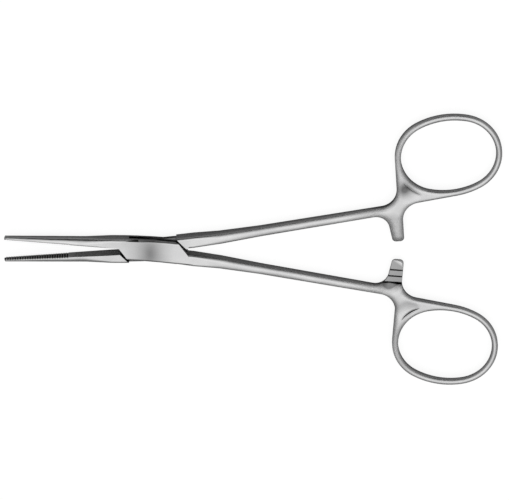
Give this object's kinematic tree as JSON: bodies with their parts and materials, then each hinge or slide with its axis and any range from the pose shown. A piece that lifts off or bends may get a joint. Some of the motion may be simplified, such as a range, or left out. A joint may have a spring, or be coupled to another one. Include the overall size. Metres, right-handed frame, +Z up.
{
  "type": "hemostat forceps",
  "caption": "Straight locking forceps with a box lock, cross-serrated jaws, a ratchet between the shanks and finger rings.",
  "frame": {"origin": "on the pivot axis, at the underside of the box on which the forceps lies", "axes": "+X from the jaws to the finger rings along the line on which the jaws meet, +Z up along the pivot axis, +Y towards the tongue half's finger ring"},
  "size_m": [0.1395, 0.0824, 0.0044],
  "materials": {
    "steel": "satin"
  },
  "bodies": {
    "box_body": {"box_half": "steel", "rivet": "steel"},
    "tongue_body": {"tongue_half": "steel"}
  },
  "joints": [
    {"name": "box_lock_pivot", "type": "hinge", "parent": "box_body", "child": "tongue_body", "pos_m": [0, 0, 0], "axis": [0, 0, 1], "range_deg": [-8.1, 51.9]}
  ]
}
